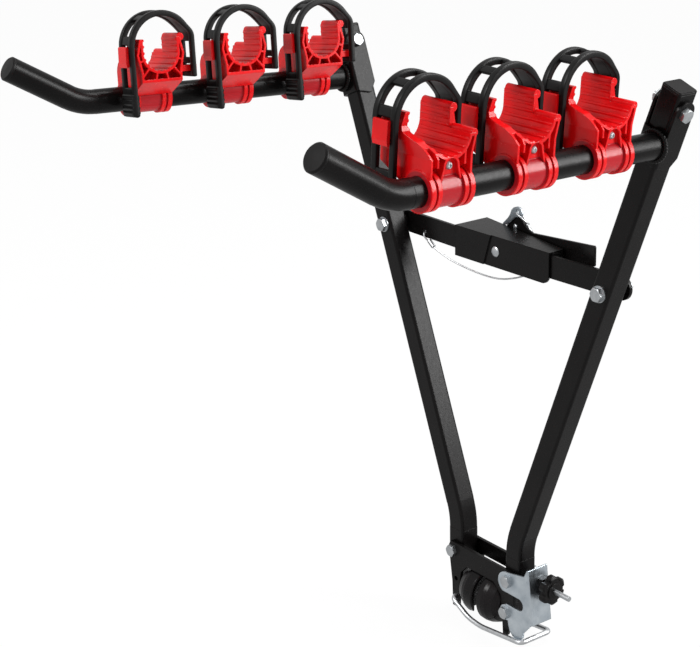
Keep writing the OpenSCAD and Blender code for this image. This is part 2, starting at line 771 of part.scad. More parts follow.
module tube_section(slack = 0) {
  difference() {
    circle(r = arm_r - slack);
    circle(r = arm_r - arm_wall + slack);
  }
}

module arm_tube(side) {
  difference() {
    arm_frame(side) {
      translate([0, 4, 0]) rotate([90, 0, 0]) linear_extrude(arm_straight - arm_bend_run + 4) tube_section();
      translate([0, -arm_straight + arm_bend_run, arm_bend_r]) rotate([0, 90, 180]) rotate(-bend_lap)
        rotate_extrude(angle = arm_bend + 2 * bend_lap) translate([arm_bend_r, 0]) tube_section(bend_slack);
      translate([0, -arm_straight, 0]) rotate([-arm_bend, 0, 0]) translate([0, -arm_bend_run, 0])
        rotate([90, 0, 0]) linear_extrude(arm_end - arm_bend_run) tube_section();
      translate([0, 2, 0]) rotate([90, 0, 0]) rotate_extrude()
        polygon([
          [arm_r - 0.5, 0], [arm_r + 3.2, 0], [arm_r + 3.2, 3], [arm_r + 1.6, 4.6], [arm_r - 0.5, 5.5]
        ]);
    }
    on_side(side) translate([arm_root[0] - 50, -web_out, arm_root[2] - 50]) cube([100, 30, 100]);
  }
}

module arm_tube_left() color("#17181a") arm_tube(-1);

module arm_tube_right() color("#17181a") arm_tube(1);

module arm_plug(side) {
  arm_frame(side) translate([0, -arm_straight, 0]) rotate([-arm_bend, 0, 0]) translate([0, -arm_end, 0])
    rotate([90, 0, 0]) rotate_extrude()
      polygon([
        [0, -14], [arm_r - arm_wall - run, -14], [arm_r - arm_wall - run, 0], [arm_r, 0], [arm_r, 2],
        [arm_r - 1.5, 3.6], [0, 4]
      ]);
}

module arm_plug_left() color("#101011") arm_plug(-1);

module arm_plug_right() color("#101011") arm_plug(1);

// Heads of both pivot bolts point to +X
module arm_bolt(side) {
  head = side * flange_out;
  leg_frame(side) {
    translate([head, 0, arm_pivot_u]) rotate([0, side * 90, 0]) hex_head(bolt_af, bolt_head);
    pin_x(0, arm_pivot_u, arm_bolt_d / 2, -flange_out - (side > 0 ? 9 : 1), flange_out + (side > 0 ? 1 : 9));
  }
}

module arm_bolt_left() color("#b9bcc0") arm_bolt(-1);

module arm_bolt_right() color("#b9bcc0") arm_bolt(1);

module arm_nut(side) {
  leg_frame(side) translate([-side * flange_out, 0, arm_pivot_u]) rotate([0, -side * 90, 0])
    hex_nut(bolt_af, nut_h, arm_bolt_d / 2);
}

module arm_nut_left() color("#b9bcc0") arm_nut(-1);

module arm_nut_right() color("#b9bcc0") arm_nut(1);

// Cradles
module saddle_outline(cut) {
  polygon([
    [-waist_half + cut, cut], [-waist_half + cut, 29], [-jaw_half + cut, groove_h - 2],
    [-lip_half + cut, tall_h - cut], [lip_half - cut, tall_h - cut], [jaw_half - cut, groove_h - 2],
    [waist_half - cut, 29], [waist_half - cut, cut]
  ]);
}

module groove_cut(r) {
  translate([0, groove_h]) circle(r = r);
  translate([-r, groove_h]) square([2 * r, 40]);
}

module groove_ridges() {
  for (a = [0:ridge_step:5 * ridge_step])
    translate([0, groove_h]) rotate(-a) translate([groove_r + 0.5, 0]) circle(r = ridge_r, $fn = 32);
  for (h = [7, 13.5]) translate([groove_r + 0.5, groove_h + h]) circle(r = ridge_r, $fn = 32);
}

module saddle_section() {
  difference() {
    saddle_outline(0);
    groove_cut(groove_r);
  }
  intersection() {
    saddle_outline(0);
    groove_ridges();
  }
}

// Hollow between the outer walls and the groove in the end faces
module end_hollow(low, high) {
  difference() {
    intersection() {
      saddle_outline(2.4);
      translate([-40, low]) square([80, high - low]);
    }
    groove_cut(groove_r + 2.6);
  }
}

module inner_cells() {
  difference() {
    end_hollow(21, tall_h - 2.4);
    for (a = [20:28:160]) translate([0, groove_h]) rotate(-a) translate([0, -1]) square([60, 2]);
  }
}

// Arch round the screw at the outer end
module boss_outline(cut) {
  translate([0, screw_h]) circle(r = boss_r - cut);
  polygon([[-13 + cut, 8], [13 - cut, 8], [boss_r - cut - 0.3, screw_h], [-boss_r + cut + 0.3, screw_h]]);
}

module outer_cells() {
  difference() {
    end_hollow(4, low_h - 2.4);
    boss_outline(0);
    for (side = [-1, 1]) translate([side * 15.5 - 1, screw_h]) square([2, 20]);
  }
}

// Side views of the back and of the front jaw
module back_side() {
  polygon([
    [cradle_in, 18], [cradle_in, tall_h], [step_back, tall_h], [step_back, low_h], [cradle_out, low_h],
    [cradle_out, 3], [-20, 3]
  ]);
}

module front_side() {
  polygon([
    [cradle_in, 18], [cradle_in, tall_h], [step_front, tall_h], [step_front - 1.5, low_h + 5],
    [step_front + 1, low_h + 1], [-10, low_h - 2.5], [-2, low_h - 5], [5, low_h - 8.6],
    [cradle_out - 3.4, low_h - 13.6], [cradle_out, low_h - 18], [cradle_out, 3], [-20, 3]
  ]);
}

module saddle_body() {
  difference() {
    union() {
      intersection() {
        bar_x(cradle_in, cradle_out - cradle_in) saddle_section();
        union() {
          plate_xz(-0.2, 40) back_side();
          plate_xz(-40, 40) front_side();
        }
      }
      pin_x(lip_half + 0.5, tall_h, roll_r, cradle_in + 0.5, step_back - 0.5);
      pin_x(lip_half + 1.2, low_h, roll_r - 0.4, step_back - 2, cradle_out - 0.4);
    }
    bar_x(cradle_in - 1, 15) inner_cells();
    bar_x(cradle_out - 8.5, 10) outer_cells();
    bar_x(screw_x, 20) boss_outline(2.2);
  }
}

module ring_shape() {
  half = ring_len / 2;
  rotate([90, 0, 0]) rotate_extrude()
    polygon([
      [bore_r, -half], [flange_r, -half], [flange_r, -half + 5], [band_r, -half + 5], [band_r, -half + 7.5],
      [flange_r, -half + 7.5], [flange_r, -half + 12], [band_r, -half + 12], [band_r, half - 12],
      [flange_r, half - 12], [flange_r, half - 7.5], [band_r, half - 7.5], [band_r, half - 5],
      [flange_r, half - 5], [flange_r, half], [bore_r, half]
    ]);
}

module cradle_hooks() {
  bar_x(strap_mid - 7.5, 15) polygon([
    [jaw_half - 2, hook_h + slip], [strap_face + slip + 1, hook_h + slip],
    [strap_face + slip + 1, hook_h + 6], [jaw_half - 2, hook_h + 6]
  ]);
  bar_x(strap_mid - 9.5, 19) polygon([
    [strap_face + slip, hook_bar], [strap_face + 3, hook_bar - 1], [strap_face + 4, hook_bar + 4],
    [strap_face + 3.4, hook_top - 1], [strap_face + 2.4, hook_top], [strap_face + slip, hook_top]
  ]);
  bar_x(strap_mid - 7.5, 15) polygon([
    [-waist_half + 2, peg_h + slip], [-strap_back - strap_t - slip, peg_h + slip],
    [-strap_back - strap_t - slip, strap_tip + 1], [-strap_back - strap_t - 3, strap_tip + 1],
    [-strap_back - strap_t - 3.4, peg_h + 7], [-waist_half + 2, peg_h + 7]
  ]);
}

module cradle(side, i) {
  cradle_frame(side, i) difference() {
    union() {
      saddle_body();
      ring_shape();
      cradle_hooks();
    }
    rotate([90, 0, 0]) cylinder(r = bore_r, h = ring_len + 20, center = true);
  }
}

module cradle_left_1() color("#c8141c") cradle(-1, 1);

module cradle_left_2() color("#c8141c") cradle(-1, 2);

module cradle_left_3() color("#c8141c") cradle(-1, 3);

module cradle_right_1() color("#c8141c") cradle(1, 1);

module cradle_right_2() color("#c8141c") cradle(1, 2);

module cradle_right_3() color("#c8141c") cradle(1, 3);

module cradle_screw() {
  difference() {
    translate([screw_x, 0, screw_h]) rotate([0, 90, 0]) rotate_extrude()
      polygon([[0, 0], [screw_r, 0], [screw_r, 1], [screw_r - 1, 2.2], [0, 2.6]]);
    translate([screw_x + 1.2, -0.5, screw_h - 1.9]) cube([3, 1, 3.8]);
    translate([screw_x + 1.2, -1.9, screw_h - 0.5]) cube([3, 3.8, 1]);
  }
}

module cradle_screws_left() color("#c9ccd0") for (i = [1:3]) cradle_frame(-1, i) cradle_screw();

module cradle_screws_right() color("#c9ccd0") for (i = [1:3]) cradle_frame(1, i) cradle_screw();

// Straps
module strap_line() {
  a = strap_arc;
  down = [-sin(a), cos(a)];
  inner = strap_in * [cos(a), sin(a)] + [strap_s, strap_h];
  outer = strap_out * [cos(a), sin(a)] + [strap_s, strap_h];
  inner_kink = inner + down * (inner[0] + strap_back) / sin(a);
  outer_kink = outer + down * (outer[0] + strap_back + strap_t) / sin(a);
  translate([strap_s + strap_in, strap_foot]) square([strap_t, strap_h - strap_foot]);
  translate([strap_s + strap_in - 2.5, strap_foot]) square([strap_t + 5.5, 25]);
  intersection() {
    translate([strap_s, strap_h]) difference() {
      circle(r = strap_out, $fn = 128);
      circle(r = strap_in, $fn = 128);
    }
    translate([strap_s, strap_h]) polygon([[0, 0], [60, 0], [60, 60], [-60, 60], 80 * [cos(a), sin(a)]]);
  }
  polygon([inner, outer, outer_kink, inner_kink]);
  polygon([
    inner_kink, outer_kink, [-strap_back - strap_t, strap_tip], [-strap_back, strap_tip]
  ]);
}

module strap_windows() {
  bar_x(strap_mid - window_w / 2, window_w) {
    for (h = [[14, hook_bar], [hook_h, 58]])
      translate([strap_s + strap_in - 4, h[0]]) square([strap_t + 8, h[1] - h[0]]);
    for (a = [21, 66])
      translate([strap_s, strap_h]) polygon([[0, 0], 60 * [cos(a), sin(a)], 60 * [cos(a + 31), sin(a + 31)]]);
    for (h = [[peg_h, 34], [41, 58]])
      translate([-strap_back - strap_t - 2, h[0]]) square([strap_t + 4, h[1] - h[0]]);
  }
}

module strap(side, i) {
  cradle_frame(side, i) difference() {
    bar_x(cradle_in, strap_w) strap_line();
    strap_windows();
  }
}

module strap_left_1() color("#19191a") strap(-1, 1);

module strap_left_2() color("#19191a") strap(-1, 2);

module strap_left_3() color("#19191a") strap(-1, 3);

module strap_right_1() color("#19191a") strap(1, 1);

module strap_right_2() color("#19191a") strap(1, 2);

module strap_right_3() color("#19191a") strap(1, 3);

base_plate_front();
base_plate_back();
cup_left();
cup_right();
base_bolts();
base_nuts();
cup_bolt();
cup_nut();
lock_plate();
knob_stud();
stud_block();
knob_washer();
star_knob();
bail_wire();
leg_left();
leg_right();
leg_cap_left();
leg_cap_right();
brace_bolt_left();
brace_bolt_right();
brace_spacer_left();
brace_spacer_right();
brace_nut_left();
brace_nut_right();
brace_bar_left();
brace_bar_right();
brace_channel();
brace_rivet();
brace_handle();
pull_tab();
tab_rivet();
lanyard_wire();
lanyard_crimp_left();
lanyard_crimp_right();
arm_bracket_left();
arm_bracket_right();
arm_tube_left();
arm_tube_right();
arm_plug_left();
arm_plug_right();
arm_bolt_left();
arm_bolt_right();
arm_nut_left();
arm_nut_right();
cradle_left_1();
cradle_left_2();
cradle_left_3();
cradle_right_1();
cradle_right_2();
cradle_right_3();
strap_left_1();
strap_left_2();
strap_left_3();
strap_right_1();
strap_right_2();
strap_right_3();
cradle_screws_left();
cradle_screws_right();
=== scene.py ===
import logging
import math
from dataclasses import dataclass, field
from enum import Enum
from itertools import accumulate
from typing import Any, Sequence

import bpy
import numpy as np
from mathutils import Matrix, Vector


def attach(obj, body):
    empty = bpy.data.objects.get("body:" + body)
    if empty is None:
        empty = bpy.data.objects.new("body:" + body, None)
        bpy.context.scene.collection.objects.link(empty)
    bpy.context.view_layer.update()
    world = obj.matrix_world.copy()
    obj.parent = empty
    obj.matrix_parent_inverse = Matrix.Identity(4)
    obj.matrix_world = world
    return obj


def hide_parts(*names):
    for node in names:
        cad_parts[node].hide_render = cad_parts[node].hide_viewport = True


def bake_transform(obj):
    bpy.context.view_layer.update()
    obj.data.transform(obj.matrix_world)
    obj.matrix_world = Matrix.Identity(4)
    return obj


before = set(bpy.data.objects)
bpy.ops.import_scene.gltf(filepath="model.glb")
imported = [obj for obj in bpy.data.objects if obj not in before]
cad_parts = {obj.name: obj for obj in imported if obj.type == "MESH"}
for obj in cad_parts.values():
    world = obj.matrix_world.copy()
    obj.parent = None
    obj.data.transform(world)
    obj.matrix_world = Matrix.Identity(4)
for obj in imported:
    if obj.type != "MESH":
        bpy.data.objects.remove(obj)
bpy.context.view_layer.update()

MM = 0.001
LOG = logging.getLogger("bike_rack")
Points = np.ndarray
Shell = tuple[np.ndarray, list[list[int]]]

# How every finish reads its two noises: octaves, and the part of the range that carries the drift
CLOUD_DETAIL = 3.0
CLOUD_RANGE = (0.3, 0.7)
GRAIN_DETAIL = 2.0
GRAIN_RANGE = (0.25, 0.75)
RELIEF_STRENGTH = 0.6
EDGE_SAMPLES = 4


class Side(Enum):
    """The two legs and arms of the rack: the value is the sign of X."""

    LEFT = -1
    RIGHT = 1


def linear(hex_code: str) -> tuple[float, float, float, float]:
    """Turns an sRGB hex colour into linear RGBA.

    Args:
        hex_code: Six hex digits with a leading hash.
    Returns:
        The colour in linear light, opaque.
    """
    srgb = np.array([int(hex_code[k:k + 2], 16) for k in (1, 3, 5)]) / 255
    lin = np.where(srgb <= 0.04045, srgb / 12.92, ((srgb + 0.055) / 1.055) ** 2.4)
    return (float(lin[0]), float(lin[1]), float(lin[2]), 1.0)


def add_node(tree: bpy.types.NodeTree, kind: str, inputs: dict[Any, Any] | None = None,
             **settings: Any) -> bpy.types.Node:
    """Adds one node with its settings, socket values and links.

    Args:
        tree: The node tree.
        kind: Blender's node type name.
        inputs: Socket name or number to a value, or to the output socket that feeds it.
        settings: Properties of the node itself.
    Returns:
        The new node.
    """
    made = tree.nodes.new(kind)
    for name, value in settings.items():
        setattr(made, name, value)
    for key, value in (inputs or {}).items():
        if isinstance(value, bpy.types.NodeSocket):
            tree.links.new(value, made.inputs[key])
        else:
            made.inputs[key].default_value = value
    return made


def mixed(tree: bpy.types.NodeTree, share: bpy.types.NodeSocket, first: Any,
          second: Any) -> bpy.types.NodeSocket:
    """Mixes two colours, through the colour sockets of a Mix node, which are 6 and 7, out at 2.

    Args:
        tree: The node tree.
        share: How much of the second colour shows.
        first: Colour, or the socket that gives it, at 0.
        second: Colour, or the socket that gives it, at 1.
    Returns:
        The socket of the mixed colour.
    """
    node = add_node(tree, "ShaderNodeMix", {0: share, 6: first, 7: second}, data_type="RGBA")
    return node.outputs[2]


@dataclass(frozen=True)
class CarryingFrame:
    """Places of the arms and of the saddles on them, in millimetres, as in the part's source."""

    leg_tilt: float = 21.2
    pivot_x: float = 50.0
    corner_z: float = 84.0
    arm_u: float = 535.5
    arm_side: float = 6.2
    web_out: float = 15.8
    arm_toe: float = 3.8
    arm_rise: float = 2.0
    arm_r: float = 13.45
    pitch: float = 102.3
    first_right: float = 75.5
    first_left: float = 54.0
    roll_right: float = 2.5
    roll_left: float = 6.5
    per_arm: int = 3

    def arm(self, side: Side) -> Matrix:
        """The arm's frame: its root on the bracket, turned by toe and rise, mirrored on the left.

        Args:
            side: Which arm.
        Returns:
            Matrix from arm millimetres to model millimetres.
        """
        tilt = math.radians(self.leg_tilt)
        root = Vector((self.pivot_x + self.arm_u * math.sin(tilt) + self.arm_side * math.cos(tilt),
                       -self.web_out,
                       self.corner_z + self.arm_u * math.cos(tilt) - self.arm_side * math.sin(tilt)))
        turn = Matrix.Rotation(math.radians(self.arm_toe), 4, "Z") @ Matrix.Rotation(
            math.radians(-self.arm_rise), 4, "X")
        return Matrix.Diagonal((side.value, 1, 1, 1)) @ Matrix.Translation(root) @ turn

    def saddle(self, side: Side, number: int) -> Matrix:
        """The frame of one saddle: along the arm by its place, rolled about the arm.

        Args:
            side: Which arm.
            number: 1 is the nearest to the leg.
        Returns:
            Matrix from saddle millimetres to model millimetres.
        """
        right = side is Side.RIGHT
        along = (self.first_right if right else self.first_left) + (number - 1) * self.pitch
        roll = math.radians(self.roll_right if right else self.roll_left)
        return self.arm(side) @ Matrix.Translation((0, -along, 0)) @ Matrix.Rotation(roll, 4, "Y")

    def saddles(self) -> list[tuple[str, str, Matrix]]:
        """Every saddle of both arms.

        Returns:
            Key such as left_1, name of the arm's body, and the saddle's frame, for each.
        """
        return [(f"{side.name.lower()}_{number}", f"{side.name.lower()}_arm", self.saddle(side, number))
                for side in Side for number in range(1, self.per_arm + 1)]


@dataclass(frozen=True)
class ThinSleeve:
    """A thin wall on a black tube, which shows duskier than thick plastic: every point closer to
    the tube's axis than the outside of the wall. The left tube mirrors the right one in X.
    """

    dusky_hex: str
    wall_mm: float
    clear_mm: float

    def tint(self, tree: bpy.types.NodeTree, place: bpy.types.NodeSocket,
             colour: bpy.types.NodeSocket) -> bpy.types.NodeSocket:
        """Mixes the dusky tone in by the distance from the axis, |(p - root) x along|.

        Args:
            tree: The node tree.
            place: Object coordinates.
            colour: The colour of the thick plastic.
        Returns:
            The mixed colour.
        """
        at = CarryingFrame().arm(Side.RIGHT)
        split = add_node(tree, "ShaderNodeSeparateXYZ", {0: place})
        right = add_node(tree, "ShaderNodeMath", {0: split.outputs[0]}, operation="ABSOLUTE")
        folded = add_node(tree, "ShaderNodeCombineXYZ",
                          {0: right.outputs[0], 1: split.outputs[1], 2: split.outputs[2]})
        lever = add_node(tree, "ShaderNodeVectorMath",
                         {0: folded.outputs[0], 1: at.translation * MM}, operation="SUBTRACT")
        along = at.to_3x3() @ Vector((0, 1, 0))
        moment = add_node(tree, "ShaderNodeVectorMath", {0: lever.outputs[0], 1: along},
                          operation="CROSS_PRODUCT")
        away = add_node(tree, "ShaderNodeVectorMath", {0: moment.outputs[0]}, operation="LENGTH")
        thick = add_node(tree, "ShaderNodeMapRange",
                         {"Value": away.outputs[1], "From Min": self.wall_mm * MM,
                          "From Max": self.clear_mm * MM})
        return mixed(tree, thick.outputs[0], linear(self.dusky_hex), colour)


@dataclass(frozen=True)
class Finish:
    """A surface finish with clouded colour, uneven gloss, a fine relief and softened edges.

    The colour drifts between two tones over clouds of a real size, the gloss drifts with a
    finer pattern, and the relief is a noise of the real grain size. The edge radius rounds
    the highlights on sharp edges as the real bends, mouldings and coating do.
    """

    name: str
    deep_hex: str
    pale_hex: str
    cloud_mm: float
    rough_low: float
    rough_high: float
    grain_mm: float
    grain_depth_mm: float
    edge_mm: float
    metallic: float = 0.0
    ior: float = 1.5
    specular: float = 0.5
    stretch: tuple[float, float, float] = (1.0, 1.0, 1.0)
    sleeve: ThinSleeve | None = None

    def material(self) -> bpy.types.Material:
        """Builds the material from its nodes, on Object coordinates.

        Returns:
            The finished material.
        """
        mat = bpy.data.materials.new(self.name)
        mat.use_nodes = True
        tree = mat.node_tree
        tree.nodes.clear()
        place = add_node(tree, "ShaderNodeTexCoord").outputs["Object"]
        cloud = add_node(tree, "ShaderNodeTexNoise",
                         {"Vector": place, "Scale": 1 / (self.cloud_mm * MM), "Detail": CLOUD_DETAIL})
        tone = add_node(tree, "ShaderNodeMapRange",
                        {"Value": cloud.outputs[0],
                         "From Min": CLOUD_RANGE[0], "From Max": CLOUD_RANGE[1]})
        colour = mixed(tree, tone.outputs[0], linear(self.deep_hex), linear(self.pale_hex))
        tinted = self.sleeve.tint(tree, place, colour) if self.sleeve else colour
        turned = add_node(tree, "ShaderNodeMapping", {"Vector": place, "Scale": self.stretch})
        grain = add_node(tree, "ShaderNodeTexNoise",
                         {"Vector": turned.outputs[0], "Scale": 1 / (self.grain_mm * MM),
                          "Detail": GRAIN_DETAIL})
        gloss = add_node(tree, "ShaderNodeMapRange",
                         {"Value": grain.outputs[0],
                          "From Min": GRAIN_RANGE[0], "From Max": GRAIN_RANGE[1],
                          "To Min": self.rough_low, "To Max": self.rough_high})
        edge = add_node(tree, "ShaderNodeBevel", {"Radius": self.edge_mm * MM}, samples=EDGE_SAMPLES)
        relief = add_node(tree, "ShaderNodeBump",
                          {"Height": grain.outputs[0], "Strength": RELIEF_STRENGTH,
                           "Distance": self.grain_depth_mm * MM, "Normal": edge.outputs[0]})
        shader = add_node(tree, "ShaderNodeBsdfPrincipled",
                          {"Base Color": tinted, "Roughness": gloss.outputs[0],
                           "Metallic": self.metallic, "IOR": self.ior,
                           "Specular IOR Level": self.specular, "Normal": relief.outputs[0]})
        add_node(tree, "ShaderNodeOutputMaterial", {"Surface": shader.outputs[0]})
        return mat


class Finishes(Enum):
    """Every finish of the rack, named for the real material; each is the slot of that name."""

    # Polyester powder baked on steel: satin black, with the faint orange peel of the melt,
    # whose 1.5 mm waves are drawn at 3 mm so that they show
    BLACK_POWDER_COAT = Finish("black_powder_coat", "#080707", "#0e0c0c", 60, 0.26, 0.33,
                               3.0, 0.006, 1.2, specular=0.15)
    # Brushed-on enamel over the pressed cups: a little glossier than the powder
    BLACK_PAINTED_CUPS = Finish("black_painted_cups", "#0d0c0d", "#181516", 25, 0.2, 0.3,
                                2.5, 0.012, 0.8, specular=0.17)
    # Blue-passivated zinc on turned and forged fasteners: bright with a soft bloom
    ZINC_PLATED_FASTENERS = Finish("zinc_plated_fasteners", "#b4b8bb", "#cdd0d2", 8, 0.34, 0.48,
                                   1.2, 0.02, 0.4, metallic=1.0)
    # Zinc-plated sheet: rolling lines run along the strip, so the grain is stretched in Z
    ZINC_PLATED_SHEET = Finish("zinc_plated_sheet", "#b8c2ca", "#d5dde3", 14, 0.26, 0.42,
                               1.6, 0.02, 1.6, metallic=1.0, stretch=(1.0, 1.0, 0.2))
    # Drawn steel wire, zinc plated, with faint die marks
    BRIGHT_STEEL_WIRE = Finish("bright_steel_wire", "#c4c6c8", "#dcdee0", 6, 0.34, 0.44,
                               0.8, 0.005, 0.1, metallic=1.0)
    # Glass-filled nylon with a spark-eroded mould grain, drawn at 1.2 mm so that it shows
    BLACK_PLASTIC = Finish("black_plastic", "#0c0b0b", "#151313", 20, 0.32, 0.44,
                           1.2, 0.012, 0.6, specular=0.16)
    # Glossy moulded polyamide in signal red, duskier where a thin wall lies on the black tube
    RED_PLASTIC = Finish("red_plastic", "#c4060b", "#d80b11", 30, 0.18, 0.28,
                         2.4, 0.012, 0.8, specular=0.26, sleeve=ThinSleeve("#a2151e", 16.8, 17.8))
    # Moulded EPDM rubber: satin with a slight bloom
    BLACK_RUBBER = Finish("black_rubber", "#0c0c0c", "#151414", 12, 0.3, 0.4,
                          1.0, 0.01, 0.5, specular=0.17)


@dataclass
class Palette:
    """The made materials, one for each finish."""

    made: dict[Finishes, bpy.types.Material] = field(default_factory=dict)

    def dress(self, thing: bpy.types.Object, finish: Finishes) -> None:
        """Gives an object one finish over its whole surface.

        Args:
            thing: The object to dress.
            finish: The finish it gets.
        """
        if finish not in self.made:
            self.made[finish] = finish.value.material()
        thing.data.materials.clear()
        thing.data.materials.append(self.made[finish])

    def new_piece(self, name: str, shells: Sequence[Shell], body: str | None,
                  finish: Finishes, covers: Sequence[str] = ()) -> bpy.types.Object:
        """Makes one piece out of closed shells, dressed and riding on its body.

        Args:
            name: Name of the piece.
            shells: Vertices in metres and faces of each shell.
            body: The CAD body that the piece moves with, or None for a piece that rides on no body.
            finish: Its finish, whose name is also its material slot.
            covers: CAD nodes that the piece stands for.
        Returns:
            The new object.
        """
        starts = np.cumsum([0] + [len(v) for v, _ in shells])
        faces = [[k + int(s) for k in f] for s, (_, fs) in zip(starts, shells) for f in fs]
        mesh = bpy.data.meshes.new(name)
        mesh.from_pydata(np.concatenate([v for v, _ in shells]).tolist(), [], faces)
        mesh.polygons.foreach_set("use_smooth", np.ones(len(faces), dtype=bool))
        mesh.update()
        made = bpy.data.objects.new(name, mesh)
        bpy.context.scene.collection.objects.link(made)
        self.dress(made, finish)
        if body:
            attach(made, body)
        if covers:
            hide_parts(*covers)
        LOG.info("%s: %d faces on %s", name, len(faces), body or "two bodies")
        return made


def grid_faces(rows: int, around: int) -> list[list[int]]:
    """Faces of a tube grid: quads between rows, closed round, with a polygon on each end.

    Args:
        rows: Number of rings along the tube.
        around: Number of points round each ring.
    Returns:
        Vertex numbers of every face, pointing outwards for rings that turn to the left
        about the direction of travel.
    """
    r, a = np.meshgrid(np.arange(rows - 1), np.arange(around), indexing="ij")
    nxt = (a + 1) % around
    quads = np.stack([r * around + a, r * around + nxt, (r + 1) * around + nxt, (r + 1) * around + a], -1)
    ends = [list(range(around - 1, -1, -1)), list(range((rows - 1) * around, rows * around))]
    return quads.reshape(-1, 4).tolist() + ends


def swept(centre: Points, across: Points, over: Points, section: Points) -> Shell:
    """Carries a section along a path: point = centre + u * across + v * over.

    Args:
        centre: Path points, one per ring.
        across: Unit vector of the section's first axis at each ring.
        over: Unit vector of the section's second axis at each ring.
        section: Section coordinates (rings, around, 2), turning to the left about the path.
    Returns:
        Vertices and faces of the closed tube.
    """
    pts = centre[:, None] + section[..., :1] * across[:, None] + section[..., 1:] * over[:, None]
    return pts.reshape(-1, 3), grid_faces(section.shape[0], section.shape[1])


def carried_axes(line: Points) -> tuple[Points, Points]:
    """Two axes square to a path, carried along it without twist: each normal is the last one
    less its part along the next tangent.

    Args:
        line: Path points.
    Returns:
        The across and over axes at every point.
    """
    tangent = np.gradient(line, axis=0)
    tangent /= np.linalg.norm(tangent, axis=1, keepdims=True)

    def carried(normal: Points, along: Points) -> Points:
        """The last normal, made square to the next tangent."""
        flat = normal - along * float(normal @ along)
        return flat / np.linalg.norm(flat)

    over = np.array(list(accumulate(tangent, carried, initial=np.array([0.0, 0.0, 1.0]))))[1:]
    return np.cross(over, tangent), over


def even_angles(count: int) -> Points:
    """Even angles round one turn, the first at 0."""
    return np.linspace(0, 2 * np.pi, count, endpoint=False)


def lengths_along(line: Points) -> Points:
    """Length from a polyline's start to each of its points."""
    return np.concatenate([[0], np.cumsum(np.linalg.norm(np.diff(line, axis=0), axis=1))])


def softened(corners: Points, step: float, window: float) -> tuple[Points, Points]:
    """Rounds a polyline: even points along it, each replaced by the mean over a window of length.

    Args:
        corners: The polyline's corners.
        step: Distance between the even points.
        window: Length of the mean, about the length of each rounded corner.
    Returns:
        Lengths along the polyline, and the softened points.
    """
    run = lengths_along(corners)
    q = np.linspace(0, run[-1], int(run[-1] / step) + 1)
    even = np.stack([np.interp(q, run, axis) for axis in corners.T], -1)
    k = max(1, int(window / step / 2))
    wide = np.pad(even, ((k, k), (0, 0)), mode="reflect", reflect_type="odd")
    kernel = np.ones(2 * k + 1) / (2 * k + 1)
    return q, np.stack([np.convolve(axis, kernel, "valid") for axis in wide.T], -1)


def soft_rectangle(half_u: Points, half_v: Points, corner: float, around: int) -> Points:
    """A superellipse section: u = a * c ** (2 / n), v = b * s ** (2 / n), signs kept.

    Args:
        half_u: Half width at each ring.
        half_v: Half height at each ring.
        corner: Exponent n: 2 is an ellipse and larger is squarer.
        around: Points round the section.
    Returns:
        Section coordinates (rings, around, 2).
    """
    t = even_angles(around)
    c, s = np.cos(t), np.sin(t)
    u = np.sign(c) * np.abs(c) ** (2 / corner)
    v = np.sign(s) * np.abs(s) ** (2 / corner)
    return np.stack([np.outer(half_u, u), np.outer(half_v, v)], -1)


def placed(shell: Shell, at: Matrix) -> Shell:
    """Moves a shell from local millimetres into the model, in metres.

    Args:
        shell: Vertices and faces.
        at: Matrix of the place; a mirrored one turns the faces round.
    Returns:
        The moved vertices and faces.
    """
    m = np.array(at)
    pts = (shell[0] @ m[:3, :3].T + m[:3, 3]) * MM
    faces = shell[1] if at.determinant() > 0 else [f[::-1] for f in shell[1]]
    return pts, faces


